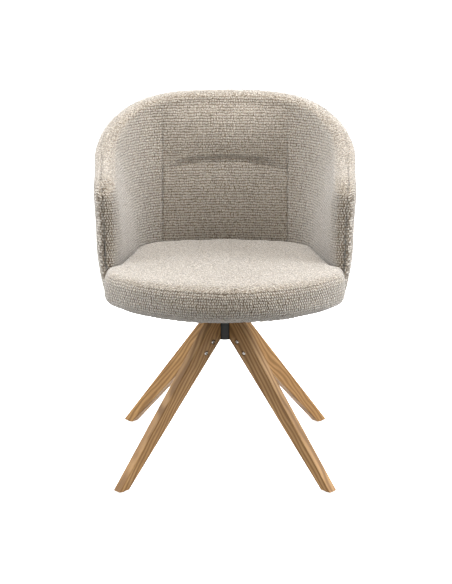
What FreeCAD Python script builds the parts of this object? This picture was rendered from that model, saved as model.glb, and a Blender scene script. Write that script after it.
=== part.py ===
"""Swivel dining chair: an upholstered tub seat that turns on a wooden four-leg star base.

The frame is millimetres, +Z up, with the swivel axis on Z and the floor at Z = 0.
The chair faces -Y. Left and right are as seen by someone who faces the chair.
"""
import FreeCAD
import Part
import functools
import math
import os

V = FreeCAD.Vector
Z_AXIS = V(0, 0, 1)

# Clearances
SOFT_GAP = 0.5          # between two upholstered pieces, or one and a wooden one
FIT_GAP = 0.3           # between hard pieces that seat on each other
RUNNING_GAP = 0.06      # radial, spindle in its bushes
PRESS_GAP = 0.05        # radial, bush in the hub tube

# Legs
LEG_COUNT = 4
LEG_THICKNESS = 23.0
LEG_EDGE_RADIUS = 2.0
FOOT_RADIUS = 350.0     # swivel axis to the outer edge of the foot, at the floor
FOOT_WIDTH = 29.0       # along the radius, at the floor
LEG_END_LOW = 294.0     # lower corner of the end that meets the hub
LEG_END_HEIGHT = 79.5
GLIDE_HEIGHT = 3.0
GLIDE_RADIUS = 9.0
GLIDE_PIN_RADIUS = 2.0
GLIDE_PIN_LENGTH = 14.0

# Hub: a steel tube with a blade welded on for each leg
HUB_RADIUS = 26.0
HUB_WALL = 3.0
HUB_TOP = 396.0
BLADE_THICKNESS = 6.0
BLADE_REACH = 92.0
BLADE_EDGE_LOW = 10.0   # blade edge above the leg's lower edge, measured upright
BLADE_EDGE_HIGH = 13.0  # blade edge below the leg's upper edge, measured upright
CAP_THICKNESS = 4.0
CAP_SKIRT = 9.0
CAP_WALL = 2.0

# Bolts through the legs
BOLT_SPACING = 32.0
BOLT_FIRST_RADIUS = 49.0
BOLT_ABOVE_EDGE = 23.0  # above the leg's lower edge, measured upright
BOLT_RADIUS = 3.0
BOLT_HEAD_RADIUS = 5.2
BOLT_HEAD_HEIGHT = 3.2
BOLT_EDGE_SHARE = 0.4   # upright share of the head's height
BOLT_SOCKET_ACROSS = 4.0
BOLT_SOCKET_DEPTH = 2.0
SLEEVE_RADIUS = 4.0
SLEEVE_LENGTH = 9.0
COUNTERBORE_RADIUS = 6.2
COUNTERBORE_DEPTH = 3.8

# Swivel
SPINDLE_RADIUS = 12.5
SPINDLE_LOW = 303.0
BUSH_LENGTH = 24.0
LOWER_BUSH_LOW = 311.0
RACE_THICKNESS = 2.0
RACE_INNER_RADIUS = 14.0
ROLLER_RADIUS = 1.9
ROLLER_LENGTH = 7.0
ROLLER_PITCH_RADIUS = 19.5
ROLLER_COUNT = 12
CAGE_THICKNESS = 2.0
CAGE_WALL = 2.0
WASHER_THICKNESS = 1.6
WASHER_RADIUS = 19.0
CLIP_THICKNESS = 1.5
CLIP_GROOVE = 1.0
CLIP_WIDTH = 4.0
CLIP_OPENING = 9.0
PLATE_SIDE = 180.0
PLATE_THICKNESS = 4.0
PLATE_CORNER_RADIUS = 22.0
PLATE_RIB_HEIGHT = 3.0

# Bolts that hold the swivel plate to the seat board
PLATE_BOLT_SPACING = 140.0
PLATE_BOLT_RADIUS = 4.0
PLATE_BOLT_LENGTH = 18.0
PLATE_HEAD_ACROSS = 13.0
PLATE_HEAD_HEIGHT = 5.3
PLATE_WASHER_RADIUS = 8.0
TEE_BARREL_RADIUS = 5.0
TEE_FLANGE_RADIUS = 10.0
TEE_FLANGE = 1.5

# Seat board and dust cover
DUST_COVER = 1.0
BOARD_THICKNESS = 15.0
BOARD_FRONT_INSET = 34.0
BOARD_VENT_RADIUS = 14.0
BOARD_VENT_REACH = 140.0
DUST_COVER_INSET = 4.0
SHELL_SCREW_RADIUS = 2.0
SHELL_SCREW_LENGTH = 32.0
SHELL_SCREW_HEAD_RADIUS = 4.0
SHELL_SCREW_HEAD = 2.5
SHELL_SCREW_COUNT = 9
SHELL_SCREW_END = 60.0  # last screw to the arm's front, along the wall

# Tub, seen from above: middle line of the padded wall at its top edge
TUB_REAR = 262.0
TUB_REAR_RADIUS = 680.0
TUB_CORNER_RADIUS = 170.0
TUB_HALF_WIDTH = 277.0
ARM_INWARD = 2.6        # degrees that each arm turns in towards the front
ARM_FRONT = -75.0
SECTION_STEP = 30.0     # between two sections along the wall, at most
NOSE_SECTIONS = 4

# Seat cushion, seen from above
SEAT_FRONT = 289.0      # swivel axis to the front of the cushion
SEAT_EAR_INSET = 2.0    # cushion's side before the arm, inside the wall's middle line
SEAT_EAR_RADIUS = 60.0
SEAT_EAR_Y = -125.5     # where the side before the arm starts to turn to the front
SEAT_LINE_REAR_INSET = 95.0     # back of the cushion, inside the wall's middle line
SEAT_LINE_REAR_RADIUS = 900.0
SEAT_LINE_CORNER_RADIUS = 88.0
SEAT_SIDE_INSET = 37.0  # cushion's side, inside the wall's middle line, at SEAT_SIDE_Y
SEAT_SIDE_Y = -41.0
SEAT_SIDE_FLARE = 13.0  # degrees that each side opens towards the front
# Seat cushion, heights
SEAT_RIM = 489.0        # cushion's top at its front and rear borders
SEAT_CROWN = 7.0        # how far the middle stands above that
SEAT_TOP_RADIUS = 22.0
SEAT_LOW_RADIUS = 26.0
SEAT_NOTCH_RADIUS = 12.0    # where the cushion turns round the arm's front

# Tub, heights and thickness
TUB_TOP = 834.0
ARM_TOP = 692.0
WALL_HALF = 27.0
TUB_FALL_LENGTH = 500.0
TUB_FALL_POWER = 1.6
ARM_NOSE_DROP = 75.0    # length over which the arm top rounds down at its front
ARM_NOSE = 30.0         # length over which the arm front rounds off
NOSE_FULLNESS = 0.85
REAR_LEAN = 0.144       # outward lean of the rear wall, as a slope
SIDE_LEAN = 0.03
DRAW_START = 520.0      # the wall's outside draws in below this height
DRAW_IN = 16.0
SIDE_BULGE = 6.0
LOWER_BULGE = 8.0
ROLL_BULGE = 13.0
CREASE_HEIGHT = 671.0
CREASE_ARCH = 16.0      # drop from the middle of the crease to its ends
CREASE_HALF = 170.0     # middle of the crease to each end, along the wall
CREASE_FADE = 4         # power by which the crease fades towards its ends
PANEL_HALF = 149.0      # half the width between the back panel's upright seams
COVER_THICKNESS = 8.0
SHELL_THICKNESS = 8.0
SHELL_END = 12.0        # shell stops this far short of the arm's front
SHELL_TOP_DROP = 38.0   # shell's top below the height where the wall starts to round

PLATE_LOW = HUB_TOP + 2 * RACE_THICKNESS + 2 * (ROLLER_RADIUS + RUNNING_GAP)
PLATE_TOP = PLATE_LOW + PLATE_THICKNESS
BOARD_LOW = PLATE_TOP + DUST_COVER
BOARD_TOP = BOARD_LOW + BOARD_THICKNESS
PAD_LOW = BOARD_TOP + SOFT_GAP
TUB_LOW = PLATE_TOP     # underside of all the upholstery
SEAT_HIGH = SEAT_RIM + SEAT_CROWN
SEAT_LINE_REAR = TUB_REAR - SEAT_LINE_REAR_INSET
SEAM_DEPTH = COVER_THICKNESS + SHELL_THICKNESS + 2 * SOFT_GAP


def polygon_wire(points):
    return Part.makePolygon(points + [points[0]])


def ring(outer, inner, low, high):
    """A plain sleeve round the swivel axis."""
    body = Part.makeCylinder(outer, high - low, V(0, 0, low))
    return body.cut(Part.makeCylinder(inner, high - low, V(0, 0, low)))


def hexagon(across, height, base, axis):
    """A hexagonal prism, across flats, standing on base along axis."""
    corner = across / math.sqrt(3)
    points = [V(corner * math.cos(math.radians(60 * i)), corner * math.sin(math.radians(60 * i)), 0)
              for i in range(6)]
    prism = Part.Face(polygon_wire(points)).extrude(V(0, 0, height))
    prism.Placement = FreeCAD.Placement(base, FreeCAD.Rotation(Z_AXIS, axis))
    return prism


def export(name, shape):
    shape.exportStep(os.path.join("parts", name + ".step"))


# Legs and hub. A leg is drawn in its own upright plane, with the radius along X.

def leg_low_edge(radius):
    """Height of the leg's lower edge."""
    foot = FOOT_RADIUS - FOOT_WIDTH
    return LEG_END_LOW * (foot - radius) / (foot - HUB_RADIUS)


def leg_high_edge(radius):
    """Height of the leg's upper edge."""
    top = LEG_END_LOW + LEG_END_HEIGHT
    return top * (FOOT_RADIUS - radius) / (FOOT_RADIUS - HUB_RADIUS)


def radius_at(edge, height):
    """Radius at which a leg edge passes a height; both edges are straight."""
    start, slope = edge(0), edge(1) - edge(0)
    return (height - start) / slope


def plate_in_leg_plane(points, thickness):
    """A flat piece of even thickness, centred on the leg's plane."""
    face = Part.Face(polygon_wire([V(r, -thickness / 2, z) for r, z in points]))
    return face.extrude(V(0, thickness, 0))


def blade_outline(gap):
    start = HUB_RADIUS - HUB_WALL / 2
    tip = BLADE_REACH + gap
    return [(start, leg_low_edge(start) + BLADE_EDGE_LOW - gap),
            (tip, leg_low_edge(tip) + BLADE_EDGE_LOW - gap),
            (tip, leg_high_edge(tip) - BLADE_EDGE_HIGH + gap),
            (start, leg_high_edge(start) - BLADE_EDGE_HIGH + gap)]


def bolt_places():
    """Radius and height of each bolt in a leg, along the leg's lower edge."""
    slope = leg_low_edge(1) - leg_low_edge(0)
    step = BOLT_SPACING / math.hypot(1, slope)
    radii = [BOLT_FIRST_RADIUS, BOLT_FIRST_RADIUS + step]
    return [(r, leg_low_edge(r) + BOLT_ABOVE_EDGE) for r in radii]


def across_leg(radius, place, start, length):
    """A cylinder that crosses the leg at a bolt place."""
    return Part.makeCylinder(radius, length, V(place[0], start, place[1]), V(0, 1, 0))


def foot_middle():
    low = radius_at(leg_low_edge, GLIDE_HEIGHT)
    high = radius_at(leg_high_edge, GLIDE_HEIGHT)
    return (low + high) / 2


def leg():
    end = HUB_RADIUS + FIT_GAP
    points = [(radius_at(leg_low_edge, GLIDE_HEIGHT), GLIDE_HEIGHT),
              (radius_at(leg_high_edge, GLIDE_HEIGHT), GLIDE_HEIGHT),
              (end, leg_high_edge(end)),
              (end, leg_low_edge(end))]
    body = plate_in_leg_plane(points, LEG_THICKNESS)
    long_edges = [e for e in body.Edges if e.Length > FOOT_RADIUS]
    body = body.makeFillet(LEG_EDGE_RADIUS, long_edges)
    body = body.cut(plate_in_leg_plane(blade_outline(FIT_GAP), BLADE_THICKNESS + 2 * FIT_GAP))
    half = LEG_THICKNESS / 2
    for place in bolt_places():
        body = body.cut(across_leg(SLEEVE_RADIUS + FIT_GAP, place, -half, LEG_THICKNESS))
        body = body.cut(across_leg(COUNTERBORE_RADIUS, place, -half, COUNTERBORE_DEPTH))
        body = body.cut(across_leg(COUNTERBORE_RADIUS, place, half - COUNTERBORE_DEPTH, COUNTERBORE_DEPTH))
    pin_hole = Part.makeCylinder(GLIDE_PIN_RADIUS, GLIDE_PIN_LENGTH + FIT_GAP,
                                 V(foot_middle(), 0, GLIDE_HEIGHT))
    return body.cut(pin_hole)


def glide():
    middle = V(foot_middle(), 0, 0)
    disc = Part.makeCylinder(GLIDE_RADIUS, GLIDE_HEIGHT, middle)
    rim = [e for e in disc.Edges if e.BoundBox.ZMax < GLIDE_HEIGHT / 2]
    disc = disc.makeChamfer(GLIDE_HEIGHT / 3, rim)
    pin = Part.makeCone(GLIDE_PIN_RADIUS - PRESS_GAP, GLIDE_PIN_RADIUS / 2, GLIDE_PIN_LENGTH,
                        middle + V(0, 0, GLIDE_HEIGHT))
    return disc.fuse(pin)


def head_floor():
    """Distance of each counterbore's floor from the leg's plane."""
    return LEG_THICKNESS / 2 - COUNTERBORE_DEPTH


def domed_head(place, base, direction):
    """Round bolt head that stands on base and narrows towards its end."""
    start = V(place[0], base, place[1])
    axis = V(0, direction, 0)
    edge = BOLT_HEAD_HEIGHT * BOLT_EDGE_SHARE
    rise = BOLT_HEAD_HEIGHT - edge
    head = Part.makeCylinder(BOLT_HEAD_RADIUS, edge, start, axis)
    return head.fuse(Part.makeCone(BOLT_HEAD_RADIUS, BOLT_HEAD_RADIUS - rise, rise, start + axis * edge, axis))


def leg_bolt(place):
    """Button-head bolt with a hexagon socket; its head faces the leg's +Y side."""
    floor = head_floor()
    low = -floor + SLEEVE_LENGTH / 2
    shank = across_leg(BOLT_RADIUS, place, low, floor - low)
    head = domed_head(place, floor, 1)
    socket = hexagon(BOLT_SOCKET_ACROSS, BOLT_SOCKET_DEPTH,
                     V(place[0], floor + BOLT_HEAD_HEIGHT, place[1]), V(0, -1, 0))
    return shank.fuse(head).cut(socket)


def sleeve_nut(place):
    """Domed sleeve nut that takes the bolt from the leg's -Y side."""
    floor = head_floor()
    sleeve = across_leg(SLEEVE_RADIUS, place, -floor, SLEEVE_LENGTH)
    bore = across_leg(BOLT_RADIUS + PRESS_GAP, place, -floor, SLEEVE_LENGTH)
    return sleeve.cut(bore).fuse(domed_head(place, -floor, -1))


def hub_blade():
    """Blade welded to the tube; its root follows the tube's outside."""
    body = plate_in_leg_plane(blade_outline(0), BLADE_THICKNESS)
    tube = Part.makeCylinder(HUB_RADIUS, HUB_TOP)
    body = body.cut(tube)
    for place in bolt_places():
        body = body.cut(across_leg(SLEEVE_RADIUS + FIT_GAP, place, -BLADE_THICKNESS, 2 * BLADE_THICKNESS))
    return body


def hub_cap():
    """Plastic plug that closes the tube from below."""
    outer = HUB_RADIUS - HUB_WALL - PRESS_GAP
    disc = Part.makeCylinder(outer, CAP_SKIRT, V(0, 0, LEG_END_LOW))
    hollow = Part.makeCylinder(outer - CAP_WALL, CAP_SKIRT, V(0, 0, LEG_END_LOW + CAP_THICKNESS))
    return disc.cut(hollow)


def leg_angles():
    """Each leg's name and its direction, in degrees from +X."""
    names = ["front_right", "rear_right", "rear_left", "front_left"]
    return [(name, -45 + 360 / LEG_COUNT * i) for i, name in enumerate(names)]


def turned(shape, angle):
    copy = shape.copy()
    copy.rotate(V(0, 0, 0), Z_AXIS, angle)
    return copy


def star(shapes):
    """The same solids in each leg's direction, as one group."""
    return Part.makeCompound([turned(s, angle) for _, angle in leg_angles() for s in shapes])


def make_base():
    one_leg = leg()
    for name, angle in leg_angles():
        export("leg_" + name, turned(one_leg, angle))
    export("glides", star([glide()]))
    export("hub_tube", ring(HUB_RADIUS, HUB_RADIUS - HUB_WALL, LEG_END_LOW, HUB_TOP))
    export("hub_blades", star([hub_blade()]))
    export("hub_cap", hub_cap())
    export("leg_bolts", star([leg_bolt(p) for p in bolt_places()]))
    export("sleeve_nuts", star([sleeve_nut(p) for p in bolt_places()]))


# Swivel

def circlip():
    """Open ring in the spindle's groove."""
    low = LOWER_BUSH_LOW - WASHER_THICKNESS - CLIP_THICKNESS
    inner = SPINDLE_RADIUS - CLIP_GROOVE + PRESS_GAP
    clip = ring(inner + CLIP_WIDTH, inner, low, low + CLIP_THICKNESS)
    slot = Part.makeBox(CLIP_OPENING, 2 * SPINDLE_RADIUS, 2 * CLIP_THICKNESS,
                        V(-CLIP_OPENING / 2, 0, low - CLIP_THICKNESS / 2))
    return clip.cut(slot)


def spindle():
    shaft = Part.makeCylinder(SPINDLE_RADIUS, PLATE_TOP - SPINDLE_LOW, V(0, 0, SPINDLE_LOW))
    end = [e for e in shaft.Edges if e.BoundBox.ZMax < SPINDLE_LOW + FIT_GAP]
    shaft = shaft.makeChamfer(CLIP_GROOVE, end)
    groove_low = LOWER_BUSH_LOW - WASHER_THICKNESS - CLIP_THICKNESS - PRESS_GAP
    groove = ring(SPINDLE_RADIUS + CLIP_GROOVE, SPINDLE_RADIUS - CLIP_GROOVE,
                  groove_low, groove_low + CLIP_THICKNESS + 2 * PRESS_GAP)
    return shaft.cut(groove)


def bush(low):
    return ring(HUB_RADIUS - HUB_WALL - PRESS_GAP, SPINDLE_RADIUS + RUNNING_GAP, low, low + BUSH_LENGTH)


def race(low):
    return ring(HUB_RADIUS - FIT_GAP, RACE_INNER_RADIUS, low, low + RACE_THICKNESS)


def roller(angle, radius, length):
    start = V(ROLLER_PITCH_RADIUS - length / 2, 0, HUB_TOP + RACE_THICKNESS + ROLLER_RADIUS + RUNNING_GAP)
    return turned(Part.makeCylinder(radius, length, start, V(1, 0, 0)), angle)


def roller_angles():
    return [360 / ROLLER_COUNT * i for i in range(ROLLER_COUNT)]


def roller_cage():
    reach = ROLLER_LENGTH / 2 + CAGE_WALL
    middle = HUB_TOP + RACE_THICKNESS + ROLLER_RADIUS + RUNNING_GAP
    cage = ring(ROLLER_PITCH_RADIUS + reach, ROLLER_PITCH_RADIUS - reach,
                middle - CAGE_THICKNESS / 2, middle + CAGE_THICKNESS / 2)
    for angle in roller_angles():
        pocket = Part.makeBox(ROLLER_LENGTH + 2 * FIT_GAP, 2 * (ROLLER_RADIUS + FIT_GAP), 2 * CAGE_THICKNESS,
                              V(ROLLER_PITCH_RADIUS - ROLLER_LENGTH / 2 - FIT_GAP,
                                -ROLLER_RADIUS - FIT_GAP, middle - CAGE_THICKNESS))
        cage = cage.cut(turned(pocket, angle))
    return cage


def plate_bolt_places():
    half = PLATE_BOLT_SPACING / 2
    return [V(x, y, 0) for x in (-half, half) for y in (-half, half)]


def swivel_plate():
    half = PLATE_SIDE / 2
    plate = Part.makeBox(PLATE_SIDE, PLATE_SIDE, PLATE_THICKNESS, V(-half, -half, PLATE_LOW))
    corners = [e for e in plate.Edges if abs(e.BoundBox.ZMax - e.BoundBox.ZMin) > PLATE_THICKNESS / 2]
    plate = plate.makeFillet(PLATE_CORNER_RADIUS, corners)
    flange_inner = half - PLATE_THICKNESS
    for angle in (0, 90, 180, 270):
        rib = Part.makeBox(PLATE_THICKNESS, PLATE_SIDE - 2 * PLATE_CORNER_RADIUS, PLATE_RIB_HEIGHT,
                           V(flange_inner, -half + PLATE_CORNER_RADIUS, PLATE_LOW - PLATE_RIB_HEIGHT))
        plate = plate.fuse(turned(rib, angle))
    plate = plate.cut(Part.makeCylinder(SPINDLE_RADIUS, 3 * PLATE_THICKNESS,
                                        V(0, 0, PLATE_LOW - PLATE_THICKNESS)))
    for place in plate_bolt_places():
        hole = Part.makeCylinder(PLATE_BOLT_RADIUS + FIT_GAP, 3 * PLATE_THICKNESS,
                                 place + V(0, 0, PLATE_LOW - PLATE_THICKNESS))
        plate = plate.cut(hole)
    return plate.removeSplitter()


def plate_bolt(place):
    washer_low = PLATE_LOW - WASHER_THICKNESS
    shank = Part.makeCylinder(PLATE_BOLT_RADIUS, PLATE_BOLT_LENGTH + WASHER_THICKNESS,
                              place + V(0, 0, washer_low))
    return shank.fuse(hexagon(PLATE_HEAD_ACROSS, PLATE_HEAD_HEIGHT,
                              place + V(0, 0, washer_low - PLATE_HEAD_HEIGHT), Z_AXIS))


def plate_washer(place):
    low = place + V(0, 0, PLATE_LOW - WASHER_THICKNESS)
    disc = Part.makeCylinder(PLATE_WASHER_RADIUS, WASHER_THICKNESS, low)
    return disc.cut(Part.makeCylinder(PLATE_BOLT_RADIUS + FIT_GAP, WASHER_THICKNESS, low))


def tee_nut(place):
    flange_low = BOARD_TOP - TEE_FLANGE
    barrel_low = BOARD_LOW + FIT_GAP
    barrel = Part.makeCylinder(TEE_BARREL_RADIUS, flange_low - barrel_low, place + V(0, 0, barrel_low))
    flange = Part.makeCylinder(TEE_FLANGE_RADIUS, TEE_FLANGE, place + V(0, 0, flange_low))
    bore = Part.makeCylinder(PLATE_BOLT_RADIUS + PRESS_GAP, BOARD_THICKNESS + TEE_FLANGE,
                             place + V(0, 0, BOARD_LOW))
    return barrel.fuse(flange).cut(bore)


def make_swivel():
    export("lower_bush", bush(LOWER_BUSH_LOW))
    export("upper_bush", bush(HUB_TOP - BUSH_LENGTH))
    export("lower_race", race(HUB_TOP))
    export("upper_race", race(PLATE_LOW - RACE_THICKNESS))
    export("roller_cage", roller_cage())
    export("rollers", Part.makeCompound([roller(a, ROLLER_RADIUS, ROLLER_LENGTH) for a in roller_angles()]))
    export("spindle", spindle())
    export("retaining_washer", ring(WASHER_RADIUS, SPINDLE_RADIUS + PRESS_GAP,
                                    LOWER_BUSH_LOW - WASHER_THICKNESS, LOWER_BUSH_LOW - PRESS_GAP))
    export("retaining_clip", circlip())
    export("swivel_plate", swivel_plate())
    places = plate_bolt_places()
    export("plate_bolts", Part.makeCompound([plate_bolt(p) for p in places]))
    export("plate_washers", Part.makeCompound([plate_washer(p) for p in places]))
    export("tee_nuts", Part.makeCompound([tee_nut(p) for p in places]))


# Outlines seen from above. Each is drawn for the right half and mirrored.

def arc_by_centre(centre, start, end):
    """Arc of less than a half circle from start to end."""
    radius = (start - centre).Length
    middle = (start + end) * 0.5 - centre
    middle.normalize()
    return Part.Arc(start, centre + middle * radius, end).toShape()


def mirrored(shape):
    return shape.mirror(V(0, 0, 0), V(1, 0, 0))


def side_direction():
    """Direction of the cushion's side line, from front to rear."""
    flare = math.radians(SEAT_SIDE_FLARE)
    return V(-math.sin(flare), math.cos(flare), 0)


def seat_line(gap):
    """Centres and joints of the line where the cushion meets the tub, inset by a gap."""
    rear_centre = V(0, SEAT_LINE_REAR - SEAT_LINE_REAR_RADIUS, 0)
    rear = SEAT_LINE_REAR_RADIUS - gap
    corner = SEAT_LINE_CORNER_RADIUS - gap
    along = side_direction()
    left = V(-along.y, along.x, 0)
    base = V(TUB_HALF_WIDTH - SEAT_SIDE_INSET, SEAT_SIDE_Y, 0) + left * (gap + corner) - rear_centre
    half_b = base.dot(along)
    reach = -half_b + math.sqrt(half_b ** 2 - base.dot(base) + (rear - corner) ** 2)
    corner_centre = rear_centre + base + along * reach
    outward = V(corner_centre - rear_centre).normalize()
    return {"rear_centre": rear_centre,
            "rear_middle": rear_centre + V(0, rear, 0),
            "corner_centre": corner_centre,
            "rear_corner": rear_centre + outward * rear,
            "side_corner": corner_centre - left * corner}


def on_side_line(gap, y):
    """Point of the cushion's side line at a given Y."""
    along = side_direction()
    start = seat_line(gap)["side_corner"]
    return start + along * ((y - start.y) / along.y)


def seat_line_edges(gap, front):
    """Right half of the seat line, from the rear middle to a point of the side line."""
    line = seat_line(gap)
    return [arc_by_centre(line["rear_centre"], line["rear_middle"], line["rear_corner"]),
            arc_by_centre(line["corner_centre"], line["rear_corner"], line["side_corner"]),
            Part.makeLine(line["side_corner"], front)]


def front_edges(inset):
    """Right half of the seat's front, and the point where it starts at the side."""
    ear_centre = V(TUB_HALF_WIDTH - SEAT_EAR_INSET - SEAT_EAR_RADIUS, SEAT_EAR_Y, 0)
    reach = SEAT_FRONT + SEAT_EAR_Y
    front_radius = ((ear_centre.x ** 2 + reach ** 2 - SEAT_EAR_RADIUS ** 2)
                    / (2 * (reach - SEAT_EAR_RADIUS)))
    centre = V(0, front_radius - SEAT_FRONT, 0)
    radius = front_radius - inset
    ear = SEAT_EAR_RADIUS - inset
    ear_side = ear_centre + V(ear, 0, 0)
    ear_front = centre + V(ear_centre - centre).normalize() * radius
    front_middle = centre - V(0, radius, 0)
    return ear_side, [arc_by_centre(ear_centre, ear_side, ear_front),
                      arc_by_centre(centre, ear_front, front_middle)]


def closed_wire(edges, height):
    wire = Part.Wire(Part.__sortEdges__(edges))
    wire.translate(V(0, 0, height))
    return wire


# Tub. A station is an upright plane square to the wall, at a length along it from the rear middle.
# A positive length runs to the right arm. An offset is measured outward from the wall's middle line.

def station(length):
    """Point on the wall's middle line, and the outward direction there."""
    side = 1 if length >= 0 else -1
    run = abs(length)
    rear_angle = math.asin((TUB_HALF_WIDTH - TUB_CORNER_RADIUS) / (TUB_REAR_RADIUS - TUB_CORNER_RADIUS))
    rear_run = TUB_REAR_RADIUS * rear_angle
    end_angle = math.pi / 2 + math.radians(ARM_INWARD)
    if run <= rear_run:
        angle = run / TUB_REAR_RADIUS
    else:
        angle = min(end_angle, rear_angle + (run - rear_run) / TUB_CORNER_RADIUS)
    outward = V(math.sin(angle), math.cos(angle), 0)
    rear_centre = V(0, TUB_REAR - TUB_REAR_RADIUS, 0)
    if run <= rear_run:
        point = rear_centre + outward * TUB_REAR_RADIUS
    else:
        rear_end = V(math.sin(rear_angle), math.cos(rear_angle), 0)
        point = rear_centre + rear_end * (TUB_REAR_RADIUS - TUB_CORNER_RADIUS) + outward * TUB_CORNER_RADIUS
    straight = run - rear_run - TUB_CORNER_RADIUS * (end_angle - rear_angle)
    if straight > 0:
        point += V(outward.y, -outward.x, 0) * straight
    return V(side * point.x, point.y, 0), V(side * outward.x, outward.y, 0)


def arm_length():
    """Length along the wall from the rear middle to the arm's front."""
    probe = 3 * TUB_CORNER_RADIUS
    point, outward = station(probe)
    return probe + (point.y - ARM_FRONT) / outward.x


LENGTH = arm_length()


def spaced(start, end, step):
    """Values from start to end, evenly spaced by no more than a step."""
    count = max(1, math.ceil(abs(end - start) / step - 1e-6))
    return [start + (end - start) * i / count for i in range(count + 1)]


def nose_lengths():
    """Lengths of the sections that round off the right arm's front."""
    turn = math.pi / 2 / NOSE_SECTIONS
    return [LENGTH - ARM_NOSE * (1 - math.sin(turn * i)) for i in range(NOSE_SECTIONS + 1)]


def lengths(start, end):
    """Lengths of the sections of a piece that runs from start to end, on one side."""
    bends = [b for b in (start, LENGTH - ARM_NOSE_DROP, LENGTH - ARM_NOSE) if start <= b < end]
    limits = sorted(bends) + [min(end, LENGTH - ARM_NOSE)]
    found = [s for a, b in zip(limits, limits[1:]) if b > a for s in spaced(a, b, SECTION_STEP)]
    found += [s for s in nose_lengths() if s < end - SOFT_GAP] + [end]
    return sorted({round(s, 6) for s in found if start <= s <= end})


def both_sides(end):
    """Lengths of the sections of a piece that runs from arm to arm."""
    right = lengths(0, end)
    return [-s for s in reversed(right[1:])] + right


def nose(length):
    """Share of the full wall thickness, which falls off at the arm's front."""
    into = max(0.0, abs(length) - (LENGTH - ARM_NOSE)) / ARM_NOSE
    return math.sqrt(1 - NOSE_FULLNESS * into * into)


def top_height(length):
    """Height of the padded wall's top edge."""
    share = min(1.0, abs(length) / TUB_FALL_LENGTH) ** TUB_FALL_POWER
    height = ARM_TOP + (TUB_TOP - ARM_TOP) * 0.5 * (1 + math.cos(math.pi * share))
    into = max(0.0, abs(length) - (LENGTH - ARM_NOSE_DROP)) / ARM_NOSE_DROP
    return height - ARM_NOSE_DROP * (1 - math.sqrt(1 - NOSE_FULLNESS * into * into))


def shoulder(length):
    """Height at which the wall's top edge starts to round."""
    return top_height(length) - WALL_HALF * nose(length)


def lean(length):
    """Outward slope of the wall's outside: strongest at the rear."""
    _, outward = station(length)
    return SIDE_LEAN + (REAR_LEAN - SIDE_LEAN) * max(0.0, outward.y) ** 2


def draw(height):
    """How far the outside is drawn in at a height, along an arc that starts upright."""
    fall = DRAW_START - TUB_LOW
    radius = (DRAW_IN ** 2 + fall ** 2) / (2 * DRAW_IN)
    below = max(0.0, DRAW_START - height)
    return radius - math.sqrt(radius ** 2 - below ** 2)


@functools.lru_cache(maxsize=None)
def seat_offset(length):
    """Offset at which this station's plane meets the seat line."""
    point, outward = station(abs(length))
    ray = Part.makeLine(point, point - outward * (2 * TUB_CORNER_RADIUS))
    front = on_side_line(0, ARM_FRONT - 2 * ARM_NOSE)
    nearest = Part.Wire(seat_line_edges(0, front)).distToShape(ray)[1][0][0]
    return -(nearest - point).Length


def seat_share(length, height):
    """0 at the cushion's top and below, 1 where the wall's top edge starts to round."""
    return min(1.0, max(0.0, (height - SEAT_RIM) / (shoulder(length) - SEAT_RIM)))


def wall_offsets(length, height):
    """Outside and inside of the wall before its front is rounded off."""
    outside = WALL_HALF - lean(length) * (shoulder(length) - height) - draw(height)
    share = seat_share(length, height)
    inside = min(-WALL_HALF, seat_offset(length)) * (1 - share) - WALL_HALF * share
    return outside, inside


def offset(length, height, depth):
    """Offset of a layer that lies at a depth below the wall's outside."""
    outside, inside = wall_offsets(length, height)
    middle = (outside + inside) / 2
    return middle + (outside - depth - middle) * nose(length)


def inner_offset(length, height, bulge):
    """Offset of the wall's inside, which stands off a straight line by a bulge."""
    outside, inside = wall_offsets(length, height)
    middle = (outside + inside) / 2
    share = seat_share(length, height)
    return middle + (inside - 4 * bulge * share * (1 - share) - middle) * nose(length)


def at(length, across, height):
    point, outward = station(length)
    return point + outward * across + V(0, 0, height)


def arc(a, b, c):
    return Part.Arc(a, b, c).toShape()


def outside_edges(length, depth, low, high):
    """Edges that follow the wall's outside at a depth below it, from low up to high."""
    def on(height):
        return at(length, offset(length, height, depth), height)
    return [arc(on(low), on((low + DRAW_START) / 2), on(DRAW_START)),
            Part.makeLine(on(DRAW_START), on(high))]


def on_top_round(length, depth):
    """Point of the rounded top edge at a depth below the wall's outside."""
    half = WALL_HALF * nose(length)
    across = (WALL_HALF - depth) * nose(length)
    return at(length, across, shoulder(length) + math.sqrt(half ** 2 - across ** 2))


def first_point(edge):
    return edge.valueAt(edge.FirstParameter)


def last_point(edge):
    return edge.valueAt(edge.LastParameter)


def section(edges):
    """Closes a chain of edges with a straight line."""
    return Part.Wire(edges + [Part.makeLine(last_point(edges[-1]), first_point(edges[0]))])


def reversed_edges(edges):
    """The same arcs and lines, drawn from the other end."""
    result = []
    for edge in reversed(edges):
        a, b = last_point(edge), first_point(edge)
        if edge.Curve.TypeId == "Part::GeomCircle":
            middle = edge.valueAt((edge.FirstParameter + edge.LastParameter) / 2)
            result.append(arc(a, middle, b))
        else:
            result.append(Part.makeLine(a, b))
    return result


def cover_section(length):
    """Outer layer of the wall, over the top edge to the seam."""
    high = shoulder(length)
    outer = outside_edges(length, 0, TUB_LOW, high)
    inner = reversed_edges(outside_edges(length, SEAM_DEPTH, TUB_LOW, high))
    seam = on_top_round(length, SEAM_DEPTH)
    over = arc(last_point(outer[-1]), on_top_round(length, SEAM_DEPTH / 2), seam)
    return section(outer + [over, Part.makeLine(seam, first_point(inner[0]))] + inner)


def shell_section(length, near, far, low, high):
    """A flat-topped layer of the wall between two depths below its outside."""
    outer = outside_edges(length, near, low, high)
    inner = reversed_edges(outside_edges(length, far, low, high))
    return section(outer + [Part.makeLine(last_point(outer[-1]), first_point(inner[0]))] + inner)


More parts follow.
